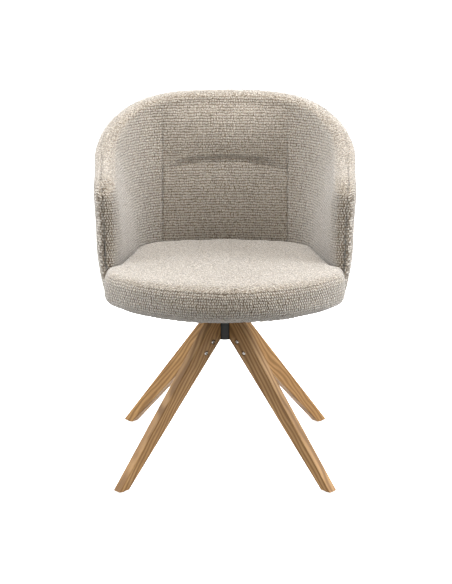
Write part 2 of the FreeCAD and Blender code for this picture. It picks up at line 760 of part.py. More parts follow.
def inside_arc(length, high, low, bulge):
    """Arc down the wall's inside between two points, standing off their chord by a bulge."""
    _, outward = station(length)
    return arc(high, (high + low) * 0.5 - outward * (bulge * nose(length)), low)


def top_of_pad(length):
    """Edges from the pad's outside over the top edge, to the inside."""
    high = shoulder(length)
    depth = SEAM_DEPTH + SOFT_GAP
    start = at(length, offset(length, high, depth), high)
    seam = on_top_round(length, depth)
    end = at(length, -WALL_HALF * nose(length), high)
    return [Part.makeLine(start, seam), arc(seam, on_top_round(length, WALL_HALF + depth / 2), end)]


def foot_of_pad(length, high, bulge):
    """Edges down the pad's inside and beside the cushion to its underside."""
    seat = at(length, inner_offset(length, SEAT_RIM, 0), SEAT_RIM)
    foot = at(length, inner_offset(length, SEAT_RIM, 0), PAD_LOW)
    return [inside_arc(length, high, seat, bulge), Part.makeLine(seat, foot)]


def side_pad_section(length):
    outer = outside_edges(length, SEAM_DEPTH + SOFT_GAP, PAD_LOW, shoulder(length))
    top = top_of_pad(length)
    return section(outer + top + foot_of_pad(length, last_point(top[-1]), SIDE_BULGE))


def crease_fade(length):
    """0 at the middle of the crease, 1 at its ends and past them."""
    return min(1.0, abs(length) / CREASE_HALF) ** CREASE_FADE


def crease_height(length):
    return CREASE_HEIGHT - CREASE_ARCH * min(1.0, abs(length) / CREASE_HALF) ** 2


def crease_point(length, height):
    """Bottom of the crease. Past its ends it lies on the side pad's inside."""
    across = inner_offset(length, height, SIDE_BULGE * crease_fade(length))
    return at(length, across, height)


def faded_bulge(length, bulge, span):
    """A bulge that fades to the side pad's own, over a share of the wall's height."""
    fade = crease_fade(length)
    return bulge * (1 - fade) + SIDE_BULGE * span ** 2 * fade


def back_pad_section(length):
    """Back panel below the crease."""
    high = crease_height(length) - SOFT_GAP / 2
    outer = outside_edges(length, SEAM_DEPTH + SOFT_GAP, PAD_LOW, high)
    crease = crease_point(length, high)
    bulge = faded_bulge(length, LOWER_BULGE, seat_share(length, high))
    foot = foot_of_pad(length, crease, bulge)
    return section(outer + [Part.makeLine(last_point(outer[-1]), crease)] + foot)


def head_roll_section(length):
    """Back panel above the crease."""
    low = crease_height(length) + SOFT_GAP / 2
    crease = crease_point(length, low)
    outside = at(length, offset(length, low, SEAM_DEPTH + SOFT_GAP), low)
    top = top_of_pad(length)
    bulge = faded_bulge(length, ROLL_BULGE, 1 - seat_share(length, low))
    front = inside_arc(length, last_point(top[-1]), crease, bulge)
    return section([Part.makeLine(outside, first_point(top[0]))] + top + [front])


def loft(make_section, stations):
    return Part.makeLoft([make_section(s) for s in stations], True, False)


def outer_cover():
    """Padded outer cover, with a pocket for the shell."""
    body = loft(cover_section, both_sides(LENGTH))

    def pocket_section(length):
        high = shoulder(length) - SHELL_TOP_DROP + SOFT_GAP
        return shell_section(length, COVER_THICKNESS, SEAM_DEPTH + COVER_THICKNESS,
                             TUB_LOW - COVER_THICKNESS, high)
    return body.cut(loft(pocket_section, both_sides(LENGTH - SHELL_END + SOFT_GAP)))


def screw_line(length):
    """Start of a shell screw on the shell's outside, and its direction."""
    _, outward = station(length)
    height = (BOARD_LOW + BOARD_TOP) / 2
    start = at(length, offset(length, height, COVER_THICKNESS + SOFT_GAP), height)
    return start - outward * SHELL_SCREW_HEAD / 2, outward * -1


def screw_lengths():
    end = LENGTH - SHELL_SCREW_END
    return [-end + 2 * end * i / (SHELL_SCREW_COUNT - 1) for i in range(SHELL_SCREW_COUNT)]


def shell_screw(length):
    start, inward = screw_line(length)
    shank = Part.makeCylinder(SHELL_SCREW_RADIUS, SHELL_SCREW_LENGTH, start, inward)
    return shank.fuse(Part.makeCylinder(SHELL_SCREW_HEAD_RADIUS, SHELL_SCREW_HEAD, start, inward))


def back_shell():
    """Moulded plywood shell, with counterbored holes for its screws."""
    def layer(length):
        high = shoulder(length) - SHELL_TOP_DROP
        near = COVER_THICKNESS + SOFT_GAP
        return shell_section(length, near, near + SHELL_THICKNESS, TUB_LOW, high)
    body = loft(layer, both_sides(LENGTH - SHELL_END))
    for length in screw_lengths():
        start, inward = screw_line(length)
        body = body.cut(Part.makeCylinder(SHELL_SCREW_RADIUS, SHELL_SCREW_LENGTH, start, inward))
        back = start - inward * SHELL_SCREW_HEAD_RADIUS
        depth = SHELL_SCREW_HEAD_RADIUS + SHELL_SCREW_HEAD
        body = body.cut(Part.makeCylinder(SHELL_SCREW_HEAD_RADIUS + FIT_GAP, depth, back, inward))
    return body


def panel_reach():
    """Length along the wall at which even its inside stands past the back panel's seams."""
    return next(s for s in spaced(0, LENGTH, SECTION_STEP / 2)
                if at(s, inner_offset(s, SEAT_RIM, SIDE_BULGE), 0).x > PANEL_HALF + SEAM_DEPTH)


def panel_start():
    """Length along the wall at which even its outside stands short of the back panel's seams."""
    return next(s for s in spaced(LENGTH, 0, SECTION_STEP / 2) if at(s, WALL_HALF, 0).x < PANEL_HALF)


def between(body, low, high):
    """The part of a body between two upright planes at given X."""
    box = body.BoundBox
    block = Part.makeBox(high - low, box.YLength + 2, box.ZLength + 2, V(low, box.YMin - 1, box.ZMin - 1))
    return body.common(block)


def make_tub():
    inner = PANEL_HALF - SOFT_GAP / 2
    panel = spaced(-panel_reach(), panel_reach(), SECTION_STEP)
    export("back_pad", between(loft(back_pad_section, panel), -inner, inner))
    export("head_roll", between(loft(head_roll_section, panel), -inner, inner))
    right = loft(side_pad_section, lengths(panel_start(), LENGTH))
    right = between(right, PANEL_HALF + SOFT_GAP / 2, TUB_HALF_WIDTH + 2 * WALL_HALF)
    export("right_side_pad", right)
    export("left_side_pad", mirrored(right))
    export("outer_cover", outer_cover())
    export("back_shell", back_shell())
    export("shell_screws", Part.makeCompound([shell_screw(s) for s in screw_lengths()]))


# Seat

def board_wire(height, inset):
    """Outline of the seat board at a height: the shell's inside, then the seat's front."""
    depth = SEAM_DEPTH - SOFT_GAP + FIT_GAP + inset
    points = [at(s, offset(s, height, depth), 0) for s in both_sides(LENGTH - ARM_NOSE)]
    curve = Part.BSplineCurve()
    curve.interpolate(points)
    ear_side, front = front_edges(BOARD_FRONT_INSET + inset)
    right = [Part.makeLine(points[-1], ear_side)] + front
    return closed_wire([curve.toShape()] + right + [mirrored(e) for e in right], height)


def seat_board():
    """Plywood board with a bevelled edge that follows the shell."""
    body = Part.makeLoft([board_wire(BOARD_LOW, 0), board_wire(BOARD_TOP, 0)], True, True)
    for place in plate_bolt_places():
        body = body.cut(Part.makeCylinder(TEE_BARREL_RADIUS, BOARD_THICKNESS, place + V(0, 0, BOARD_LOW)))
        body = body.cut(Part.makeCylinder(TEE_FLANGE_RADIUS, TEE_FLANGE,
                                          place + V(0, 0, BOARD_TOP - TEE_FLANGE)))
    for angle in (0, 90, 180, 270):
        vent = Part.makeCylinder(BOARD_VENT_RADIUS, BOARD_THICKNESS, V(BOARD_VENT_REACH, 0, BOARD_LOW))
        body = body.cut(turned(vent, angle))
    for length in screw_lengths():
        start, inward = screw_line(length)
        body = body.cut(Part.makeCylinder(SHELL_SCREW_RADIUS, SHELL_SCREW_LENGTH, start, inward))
    return body


def dust_cover():
    """Thin cloth sheet under the board, held between the board and the swivel plate."""
    face = Part.Face(board_wire(PLATE_TOP, DUST_COVER_INSET))
    sheet = face.extrude(V(0, 0, DUST_COVER))
    for place in plate_bolt_places():
        hole = Part.makeCylinder(PLATE_BOLT_RADIUS + FIT_GAP, DUST_COVER, place + V(0, 0, PLATE_TOP))
        sheet = sheet.cut(hole)
    return sheet


def ear_back():
    """Y of the cushion's face that stands before the arm's front."""
    return ARM_FRONT - SOFT_GAP - WALL_HALF * math.sin(math.radians(ARM_INWARD))


def cushion_wire():
    """Outline of the seat cushion, with an ear before each arm."""
    ear_side, front = front_edges(0)
    back = ear_back()
    corner = on_side_line(SOFT_GAP, back)
    along = side_direction()
    reach = SEAT_NOTCH_RADIUS * math.tan(math.radians(90 - SEAT_SIDE_FLARE) / 2)
    notch_start = corner + along * reach
    notch_end = corner + V(reach, 0, 0)
    notch_centre = notch_end + V(0, SEAT_NOTCH_RADIUS, 0)
    ear_corner = V(ear_side.x, back, 0)
    right = seat_line_edges(SOFT_GAP, notch_start)
    right += [arc_by_centre(notch_centre, notch_start, notch_end),
              Part.makeLine(notch_end, ear_corner),
              Part.makeLine(ear_corner, ear_side)] + front
    return closed_wire(right + [mirrored(e) for e in right], TUB_LOW)


def front_rim(body, low, high):
    """Edges of the cushion's front and ears between two heights."""
    return [e for e in body.Edges if low < e.BoundBox.ZMin and e.BoundBox.ZMax < high
            and e.BoundBox.YMax < ear_back() + FIT_GAP and e.BoundBox.YMin < ear_back() - FIT_GAP]


def seat_cushion():
    """Crowned cushion whose front and sides wrap round the board."""
    block = Part.Face(cushion_wire()).extrude(V(0, 0, SEAT_HIGH - TUB_LOW))
    half_depth = (SEAT_LINE_REAR + SEAT_FRONT) / 2
    crown = (half_depth ** 2 + SEAT_CROWN ** 2) / (2 * SEAT_CROWN)
    dome = Part.makeSphere(crown, V(0, SEAT_LINE_REAR - half_depth, SEAT_HIGH - crown))
    body = block.common(dome)
    body = body.makeFillet(SEAT_TOP_RADIUS, front_rim(body, SEAT_RIM - SEAT_TOP_RADIUS, SEAT_HIGH))
    body = body.makeFillet(SEAT_LOW_RADIUS, front_rim(body, TUB_LOW - FIT_GAP, TUB_LOW + FIT_GAP))
    below = TUB_LOW - DUST_COVER
    pocket = Part.makeLoft([board_wire(below, -SOFT_GAP), board_wire(PAD_LOW, -SOFT_GAP)], True, True)
    return body.cut(pocket)


def make_seat():
    export("seat_board", seat_board())
    export("dust_cover", dust_cover())
    export("seat_cushion", seat_cushion())


if __name__ == "__main__":
    os.makedirs("parts", exist_ok=True)
    make_base()
    make_swivel()
    make_tub()
    make_seat()
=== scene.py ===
import math
from collections import namedtuple

import bmesh
import bpy
import numpy as np
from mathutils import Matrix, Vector, noise
from mathutils.bvhtree import BVHTree
from mathutils.kdtree import KDTree


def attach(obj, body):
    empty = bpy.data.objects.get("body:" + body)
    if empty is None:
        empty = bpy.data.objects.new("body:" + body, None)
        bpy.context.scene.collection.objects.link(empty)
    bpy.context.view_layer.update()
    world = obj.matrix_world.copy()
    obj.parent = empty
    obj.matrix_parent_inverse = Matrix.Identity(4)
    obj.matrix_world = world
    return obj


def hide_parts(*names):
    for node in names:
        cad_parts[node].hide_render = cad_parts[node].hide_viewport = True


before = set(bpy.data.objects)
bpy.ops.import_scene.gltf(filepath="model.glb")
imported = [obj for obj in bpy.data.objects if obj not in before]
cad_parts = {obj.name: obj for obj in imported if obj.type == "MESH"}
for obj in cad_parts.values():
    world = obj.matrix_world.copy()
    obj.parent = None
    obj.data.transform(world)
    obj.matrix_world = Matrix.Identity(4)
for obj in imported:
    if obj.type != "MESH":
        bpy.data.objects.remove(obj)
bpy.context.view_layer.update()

# Lengths are in metres, angles in degrees and noise scales per metre, unless a comment says otherwise

# Camera, fitted to the legs and the bolts
CAMERA_PLACE = (0.0023, -4.252, 1.627)
CAMERA_PITCH = 16.06            # below level
CAMERA_LENS = 116.9             # mm
CAMERA_SENSOR = 36              # mm, along the frame's taller side
CAMERA_REACH = 100              # nothing farther off is shown

# Stage
FLOOR_HALF = 40.0
FLOOR_PATCHES = 0.6             # noise scale
FLOOR_PATCH_RANGE = (0.2, 0.8)  # noise values with the first and the second tone
FLOOR_TONES = ((0.90, 0.90, 0.90), (0.93, 0.93, 0.93))
FLOOR_GLOW = 0.75               # keeps the floor pale right to the frame's edge
WORLD_GLOW = 0.55

# Area light: place, the point that it faces, width and length, watts
LIGHTS = {"top": ((0.0, 0.0, 3.3), (0, 0, 0.5), (2.4, 2.4), 92),
          "right": ((2.6, -0.2, 1.8), (0, 0, 0.6), (1.6, 1.6), 85),
          "right_rear": ((2.2, 1.6, 1.2), (0, 0, 0.6), (1.6, 1.6), 55),
          "left": ((-2.6, -0.2, 1.8), (0, 0, 0.6), (1.6, 1.6), 50),
          "left_rear": ((-2.2, 1.6, 1.2), (0, 0, 0.6), (1.6, 1.6), 52)}

# Rows of loops, on upright faces
ROW_PITCH = 0.0061
ROW_SWAY = 0.9                  # how far the rows waver, in rows
SWAY_SCALE = 60.0
RIDGE_POWER = 0.75              # below 1, which makes a row fuller than a sine
BEAD_LENGTH = 0.0048
BEAD_CIRCLE = 0.28              # radius on which beads have that length
BEAD_LEAN = 1.2                 # beads move on by this share of the radius
BEAD_STAGGER = 0.5              # from row to row, in beads
BEAD_JITTER = 1.6               # in beads
JITTER_STEPS = (0.5, 7.31)      # how far the jitter's noise moves on per bead and per row
BEAD_MIDDLE = 0.50              # height, as a share of the weave's depth, and its swing
BEAD_SWING = 0.42

# Loops in no order, on level faces
LOOP_SCALE = 300.0
LOOP_LOW = 0.12
LOOP_SWING = 0.4
LEVEL_RANGE = (0.35, 0.8)       # upright part of the normal where rows start to end, and where none is left

# Yarn and tones of both: painted shade in the gaps between loops, the yarn's own tone, and a painted
# highlight on their crests
YARN_SCALE = 380.0
YARN_SWING = 0.5
WEAVE_DEPTH = 0.0024
TONE_START = 0.16               # height up to which the painted shade of the gaps reaches
YARN_STOP = 0.42                # heights above that start which have these tones
CREST_STOP = 0.85
# Painted shade in the gaps between loops
GAP_SHADE_TONE = (0.090, 0.062, 0.034)
YARN_TONE = (0.38, 0.31, 0.23)
# Painted highlight on the loops' crests
CREST_HIGHLIGHT_TONE = (0.81, 0.745, 0.655)
SHADE_SCALE = 9.0               # slow unevenness of the tone
SHADE_TONE = (0.95, 0.945, 0.94)

# Oak. Noise has its own scale along, across and through a leg.
LEG_SLOPE = 47.0                # that a leg's line falls towards its foot
SEED_SHIFT = 0.37               # along the leg, for each unit of the seed
RING_WIDTH = 0.0085
RING_DRIFT = 0.04
RING_DRIFT_SCALES = (5, 18, 18)
LATE_BAND = (0.42, 0.05)        # from a ring's middle, in rings: where late wood starts and is darkest
STREAK_SCALES = (14, 420, 420)
PORE_SCALES = (40, 1100, 1100)
PORE_RANGE = (0.6, 0.72)
CLOUD_SCALES = (6, 30, 30)
GRAIN_COARSENESS = 0.6          # noise roughness of streaks and pores
LATE_SHARE, STREAK_SHARE, PORE_SHARE = 0.75, 0.22, 0.3
LATE_RELIEF, PORE_RELIEF = -0.3, -0.6
GRAIN_DEPTH = 0.0002
OAK_ROUGHNESS = 0.48
LATE_ROUGHNESS = 0.08           # added on late wood
OAK_LIGHT = (0.46, 0.265, 0.105)
OAK_MIDDLE = (0.35, 0.19, 0.068)
OAK_DARK = (0.17, 0.083, 0.026)
PORE_TONE = (0.10, 0.05, 0.022)
PLAIN_TINT = (0.97, 0.97, 0.97)
# Painted light: a lighter, warmer tint for the rear legs than for the front ones
REAR_LEG_PAINTED_LIGHT = (1.1, 1.08, 1.0)

# Leg: its turn about the upright axis, the rings' heart across and through the leg, their tilt, seed, tint;
# the rear legs' lighter, warmer tint is painted light
LEGS = {"leg_front_left": (225, (0.045, -0.02), 0.10, 1.0, PLAIN_TINT),
        "leg_front_right": (-45, (-0.20, 0.05), 0.03, 2.3, PLAIN_TINT),
        "leg_rear_left": (135, (0.15, 0.09), 0.02, 3.1, REAR_LEG_PAINTED_LIGHT),
        "leg_rear_right": (45, (-0.12, -0.11), 0.04, 4.7, REAR_LEG_PAINTED_LIGHT)}

# Soft pieces
VOXEL = 0.0055
RELAX_ROUNDS = 2
SWELL_FRAMES = 16
SWELL_QUALITY = 4               # steps of the cloth per frame
PRESSURE = 4.0
HAND_WAVE = 0.0012              # slow unevenness of hand-made padding
HAND_WAVE_LENGTH = 0.075
FUZZ = 0.0005                   # loops that break the outline
FUZZ_LENGTH = 0.006
SMOOTH_ANGLE = 50.0             # edges that turn more stay sharp
WELD = 1e-6                     # corners of CAD faces this near are one
TINY = 1e-12                    # keeps divisions from failing

# Seams and contacts
SEAM_GAP = 0.01                 # pads closer than this are sewn together
SEAM_ANGLE = 25.0               # that a CAD edge turns, at the least, to be a seam
SEAM_PITCH = 0.001              # between two points that stand for a seam
SEAM_CATCH = 0.0065             # points this near to a seam move onto it
SEAM_EASE = 0.014               # the pads swell fully only this far from a seam
NO_SEAM = 1.0                   # distance to the seams, for a pad that has none
CONTACT_GAP = 0.002             # faces closer than this to a neighbour's lie against it
CONTACT_FACING = -0.5           # if the product of both normals is below this
CONTACT_GROWTH = 0.0004         # of such faces, which closes the gap
SKIN_LEAST = 0.5                # shorter skin normals, which have no length, mark points amid such faces
WELT = 0.0016                   # how deep a sewn seam pulls the fabric in
WELT_WIDTH = 0.0035
WELT_TOP = 0.775                # seams above this height don't show
WELT_FADE = 0.12

# The back panel's fold
FOLD_DEPTH = 0.005
FOLD_WIDTH = 0.004
FOLD_TOP = 0.6785
FOLD_ARCH = 0.016               # that it falls from the middle to its ends
FOLD_END = 0.149
FOLD_FADE_START = 0.095         # from the middle to where it starts to fade
FOLD_FADE = 0.035
FOLDED = ("back_pad", "head_roll")

# The fold along the cushion's upper front
RIM_FOLD_HEIGHT = 0.4765
RIM_FOLD_DEPTH = 0.0012
RIM_FOLD_START = -0.09          # y from which it deepens forwards
RIM_FOLD_EASE = 0.03

# CAD node: the visible piece, its slot, how far it swells at most, its fill
Pad = namedtuple("Pad", "name slot reach fill")
PADS = {"seat_cushion": Pad("seat_pad", "boucle_seat", 0.003, 0.75),
        "back_pad": Pad("back_lower", "boucle_inside", 0.003, 0.7),
        "head_roll": Pad("back_roll", "boucle_inside", 0.003, 0.7),
        "left_side_pad": Pad("side_left", "boucle_inside", 0.003, 0.7),
        "right_side_pad": Pad("side_right", "boucle_inside", 0.003, 0.7),
        "outer_cover": Pad("outside_cover", "boucle_outside", 0.0, 0.4)}
SEWN = ("outer_cover", "left_side_pad", "right_side_pad", "back_pad", "head_roll")
LOOP_FABRICS = {"boucle_seat": "seat_loops", "boucle_inside": "inside_loops",
                "boucle_outside": "outside_loops"}

# Cloth under the seat
CLOTH_THICKNESS = 0.0004
CLOTH_PITCH = 0.012
CLOTH_SAG = 0.0012
CLOTH_EASE = 0.03               # it hangs fully this far from the plate and from its edge
CLOTH_WAVE = 0.06
CLOTH_WAVE_SHARE = 0.25         # of the sag, which comes and goes with the waves
CLOTH_FACING = -0.9             # CAD faces with a lower z in their normal are its underside
PLATE_HALF = 0.092


# Node trees

def add(tree, kind, inputs=(), **settings):
    """A shader node. Inputs are sockets to link or values to set, by name or number."""
    node = tree.nodes.new("ShaderNode" + kind)
    for name, value in settings.items():
        setattr(node, name, value)
    for name, value in dict(inputs).items():
        if isinstance(value, bpy.types.NodeSocket):
            tree.links.new(value, node.inputs[name])
        else:
            node.inputs[name].default_value = value
    return node


def math_node(tree, operation, first, second=0.0, third=0.0):
    return add(tree, "Math", {0: first, 1: second, 2: third}, operation=operation).outputs[0]


def scaled(tree, value, factor, shift=0.0):
    return math_node(tree, "MULTIPLY_ADD", value, factor, shift)


def smooth_step(tree, value, low, high):
    """0 below low, 1 above high."""
    return add(tree, "MapRange", {"Value": value, "From Min": low, "From Max": high},
               interpolation_type="SMOOTHSTEP").outputs["Result"]


def spread(tree, value, low=0.34, high=0.66):
    """Noise stretched over the whole range from 0 to 1."""
    return smooth_step(tree, value, low, high)


def mix_colour(tree, factor, first, second, blend="MIX"):
    node = add(tree, "Mix", data_type="RGBA", blend_type=blend)
    sockets = node.inputs[0], node.inputs[6], node.inputs[7]
    for socket, value in zip(sockets, (factor, first, second)):
        if isinstance(value, bpy.types.NodeSocket):
            tree.links.new(value, socket)
        elif socket.type == "RGBA":
            socket.default_value = (*value, 1)
        else:
            socket.default_value = value
    return node.outputs[2]


def noise_value(tree, vector, scale, detail=2.0, roughness=0.5):
    return add(tree, "TexNoise", {"Vector": vector, "Scale": scale, "Detail": detail,
                                  "Roughness": roughness}).outputs["Fac"]


def long_noise(tree, vector, scales, detail=2.0, roughness=0.5):
    """Noise with its own scale along each axis."""
    vector = add(tree, "Mapping", {"Vector": vector, "Scale": scales}).outputs[0]
    return noise_value(tree, vector, scale=1.0, detail=detail, roughness=roughness)


def turned(tree, vector, about_y=0.0, about_z=0.0):
    turn = (0, math.radians(about_y), math.radians(about_z))
    return add(tree, "Mapping", {"Vector": vector, "Rotation": turn}).outputs[0]


def place_of(tree):
    return add(tree, "TexCoord").outputs["Object"]


def new_material(name):
    material = bpy.data.materials.new(name)
    material.use_nodes = True
    return material, material.node_tree


def finish_material(material, surface, colour, roughness=None, height=None, depth=0.0):
    """Principled surface with set values, and colour, roughness and bump from sockets."""
    tree = material.node_tree
    shader = tree.nodes["Principled BSDF"]
    for name, value in surface.items():
        shader.inputs[name].default_value = value
    tree.links.new(colour, shader.inputs["Base Color"])
    if roughness is not None:
        tree.links.new(roughness, shader.inputs["Roughness"])
    if height is not None:
        bump = add(tree, "Bump", {"Height": height, "Distance": depth, "Strength": 1.0})
        tree.links.new(bump.outputs[0], shader.inputs["Normal"])
    return material


def put_on(piece, material):
    piece.data.materials.clear()
    piece.data.materials.append(material)


# Camera, stage and light

def link(thing):
    bpy.context.scene.collection.objects.link(thing)


def place_camera():
    data = bpy.data.cameras.new("camera")
    data.lens = CAMERA_LENS
    data.sensor_width = CAMERA_SENSOR
    data.clip_end = CAMERA_REACH
    camera = bpy.data.objects.new("camera", data)
    camera.location = CAMERA_PLACE
    camera.rotation_euler = (math.radians(90 - CAMERA_PITCH), 0, 0)
    link(camera)
    bpy.context.scene.camera = camera


def stage_floor():
    mesh = bpy.data.meshes.new("floor")
    corners = [(x * FLOOR_HALF, y * FLOOR_HALF, 0) for x, y in ((-1, -1), (1, -1), (1, 1), (-1, 1))]
    mesh.from_pydata(corners, [], [(0, 1, 2, 3)])
    floor = bpy.data.objects.new("floor", mesh)
    link(floor)
    material, tree = new_material("pale_floor")
    patch = smooth_step(tree, noise_value(tree, place_of(tree), FLOOR_PATCHES), *FLOOR_PATCH_RANGE)
    surface = {"Roughness": 0.9, "Specular IOR Level": 0.1, "Emission Color": (1, 1, 1, 1),
               "Emission Strength": FLOOR_GLOW}
    mesh.materials.append(finish_material(material, surface, mix_colour(tree, patch, *FLOOR_TONES)))
    floor.visible_diffuse = False


def area_light(name, place, target, size, power):
    data = bpy.data.lights.new(name, "AREA")
    data.shape = "RECTANGLE"
    data.size, data.size_y = size
    data.energy = power
    light = bpy.data.objects.new(name, data)
    light.location = place
    light.rotation_euler = (Vector(target) - Vector(place)).to_track_quat("-Z", "Y").to_euler()
    link(light)


def light_studio():
    world = bpy.data.worlds.new("studio")
    world.use_nodes = True
    background = world.node_tree.nodes["Background"]
    background.inputs["Color"].default_value = (1, 1, 1, 1)
    background.inputs["Strength"].default_value = WORLD_GLOW
    bpy.context.scene.world = world
    bpy.context.scene.view_settings.view_transform = "Standard"
    for name, settings in LIGHTS.items():
        area_light(name, *settings)


# Loop fabric

def loop_rows(tree, place):
    """Height of level rows of loops. Beads stand side by side round the chair, staggered row by row."""
    x, y, z = add(tree, "SeparateXYZ", {0: place}).outputs
    sway = noise_value(tree, place, SWAY_SCALE, detail=1.0)
    rows = scaled(tree, sway, ROW_SWAY, math_node(tree, "DIVIDE", z, ROW_PITCH))
    index = math_node(tree, "FLOOR", rows)
    arch = math_node(tree, "SINE", scaled(tree, math_node(tree, "FRACT", rows), math.pi))
    ridge = math_node(tree, "POWER", arch, RIDGE_POWER)
    radius = add(tree, "VectorMath", {0: add(tree, "CombineXYZ", {0: x, 1: y}).outputs[0]},
                 operation="LENGTH").outputs["Value"]
    turn = math_node(tree, "ARCTAN2", math_node(tree, "ABSOLUTE", x), y)
    beads = scaled(tree, turn, BEAD_CIRCLE / BEAD_LENGTH, scaled(tree, radius, BEAD_LEAN / BEAD_LENGTH))
    cell = add(tree, "CombineXYZ", {0: scaled(tree, beads, JITTER_STEPS[0]),
                                    1: scaled(tree, index, JITTER_STEPS[1])}).outputs[0]
    jitter = noise_value(tree, cell, scale=1.0, detail=1.0)
    beads = scaled(tree, jitter, BEAD_JITTER, scaled(tree, index, BEAD_STAGGER, beads))
    bead = math_node(tree, "SINE", scaled(tree, beads, 2 * math.pi))
    return math_node(tree, "MULTIPLY", ridge, scaled(tree, bead, BEAD_SWING, BEAD_MIDDLE))


def boucle(name):
    """Loop fabric in level rows on upright faces. On level faces the loops stand in no order. Its colour is
    painted shade in the gaps and a painted highlight on the crests, around the yarn's own tone.
    """
    material, tree = new_material(name)
    place = place_of(tree)
    rows = loop_rows(tree, place)
    loops = spread(tree, noise_value(tree, place, LOOP_SCALE, detail=1.5))
    loops = scaled(tree, loops, LOOP_SWING, LOOP_LOW)
    normal = add(tree, "NewGeometry").outputs["Normal"]
    upward = math_node(tree, "ABSOLUTE", add(tree, "SeparateXYZ", {0: normal}).outputs[2])
    level = smooth_step(tree, upward, *LEVEL_RANGE)
    height = add(tree, "Mix", {0: level, 2: rows, 3: loops}, data_type="FLOAT").outputs[0]
    yarn = spread(tree, noise_value(tree, place, YARN_SCALE, roughness=0.7))
    height = scaled(tree, yarn, YARN_SWING, height)
    # Tone by height: painted shade in the gaps between loops, the yarn's own tone, a painted highlight on
    # the crests
    tones = add(tree, "ValToRGB", {0: math_node(tree, "SUBTRACT", height, TONE_START)})
    gap, crest_highlight = tones.color_ramp.elements
    gap.color = (*GAP_SHADE_TONE, 1)
    crest_highlight.color = (*CREST_HIGHLIGHT_TONE, 1)
    crest_highlight.position = CREST_STOP
    tones.color_ramp.elements.new(YARN_STOP).color = (*YARN_TONE, 1)
    shade = spread(tree, noise_value(tree, place, SHADE_SCALE))
    colour = mix_colour(tree, shade, tones.outputs[0], SHADE_TONE, "MULTIPLY")
    surface = {"Roughness": 0.92, "Sheen Weight": 1.0, "Sheen Roughness": 0.4,
               "Sheen Tint": (1.0, 1.0, 1.0, 1), "Specular IOR Level": 0.2}
    return finish_material(material, surface, colour, None, height, WEAVE_DEPTH)


# Wood, metal, plastic and plain cloth

def oak(name, turn, heart, tilt, seed, tint):
    """Growth rings round a heart line beside the leg, in the leg's own frame: x runs along it."""
    material, tree = new_material(name)
    place = turned(tree, turned(tree, place_of(tree), about_z=-turn), about_y=-LEG_SLOPE)
    place = add(tree, "VectorMath", {0: place, 1: (seed * SEED_SHIFT, 0, 0)}).outputs[0]
    x, y, z = add(tree, "SeparateXYZ", {0: place}).outputs
    drift = long_noise(tree, place, RING_DRIFT_SCALES)
    through = scaled(tree, x, tilt, math_node(tree, "SUBTRACT", z, heart[1]))
    through = scaled(tree, drift, RING_DRIFT, through)
    across = math_node(tree, "SUBTRACT", y, heart[0])
    radius = math_node(tree, "SQRT", scaled(tree, through, through,
                                            math_node(tree, "MULTIPLY", across, across)))
    ring = math_node(tree, "FRACT", math_node(tree, "DIVIDE", radius, RING_WIDTH))
    from_middle = math_node(tree, "ABSOLUTE", math_node(tree, "SUBTRACT", ring, 0.5))
    late = smooth_step(tree, from_middle, *LATE_BAND)
    streak = spread(tree, long_noise(tree, place, STREAK_SCALES, roughness=GRAIN_COARSENESS))
    pore = long_noise(tree, place, PORE_SCALES, roughness=GRAIN_COARSENESS)
    pore = smooth_step(tree, pore, *PORE_RANGE)
    cloud = spread(tree, long_noise(tree, place, CLOUD_SCALES, detail=3.0))
    colour = mix_colour(tree, cloud, OAK_LIGHT, OAK_MIDDLE)
    for mask, share, tone in ((late, LATE_SHARE, OAK_DARK), (streak, STREAK_SHARE, OAK_DARK),
                              (pore, PORE_SHARE, PORE_TONE)):
        colour = mix_colour(tree, scaled(tree, mask, share), colour, tone)
    # Tint: on the rear legs, painted light that makes them lighter and warmer
    colour = mix_colour(tree, 1.0, colour, tint, "MULTIPLY")
    relief = scaled(tree, pore, PORE_RELIEF, scaled(tree, late, LATE_RELIEF))
    roughness = scaled(tree, late, LATE_ROUGHNESS, OAK_ROUGHNESS)
    return finish_material(material, {"Specular IOR Level": 0.2}, colour, roughness, relief, GRAIN_DEPTH)


def grained(name, scales, tones, roughness, depth, swing=0.0, detail=3.0, harshness=0.5, surface=None):
    """Plain finish: one noise drives its tone, its bump and, as far as the swing says, its roughness."""
    material, tree = new_material(name)
    grain = long_noise(tree, place_of(tree), scales, detail, harshness)
    rough = scaled(tree, grain, swing, roughness) if swing else None
    surface = {"Roughness": roughness, **(surface or {})}
    return finish_material(material, surface, mix_colour(tree, grain, *tones), rough, grain, depth)


def darker(tone, share):
    return tuple(share * part for part in tone)


def black_powder_coat():
    tones = (0.006, 0.0065, 0.006), (0.012, 0.0125, 0.0115)
    return grained("black_powder_coat", (2600, 2600, 2600), tones, roughness=0.40, depth=0.00006,
                   swing=0.12, detail=2.0, surface={"Specular IOR Level": 0.2})


def brushed_steel(name, tone):
    return grained(name, (2500, 2500, 300), (tone, darker(tone, 0.8)), roughness=0.16, depth=0.00002,
                   swing=0.18, surface={"Metallic": 1.0})


def moulded_plastic(name, tone, roughness):
    """Plastic with a fine spark-eroded grain."""
    return grained(name, (1800, 1800, 1800), (tone, darker(tone, 0.82)), roughness, depth=0.00005,
                   swing=0.15)


def birch_plywood():
    tones = (0.62, 0.44, 0.26), (0.47, 0.31, 0.17)
    return grained("birch_plywood", (6, 160, 500), tones, roughness=0.6, depth=0.0002, detail=4.0)


def non_woven_cloth():
    tones = (0.010, 0.010, 0.011), (0.035, 0.035, 0.036)
    return grained("non_woven_cloth", (500, 500, 500), tones, roughness=0.95, depth=0.0003, detail=5.0,
                   harshness=0.8, surface={"Sheen Weight": 0.1})


def dress(material, *nodes):
    for node in nodes:
        put_on(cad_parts[node], material)


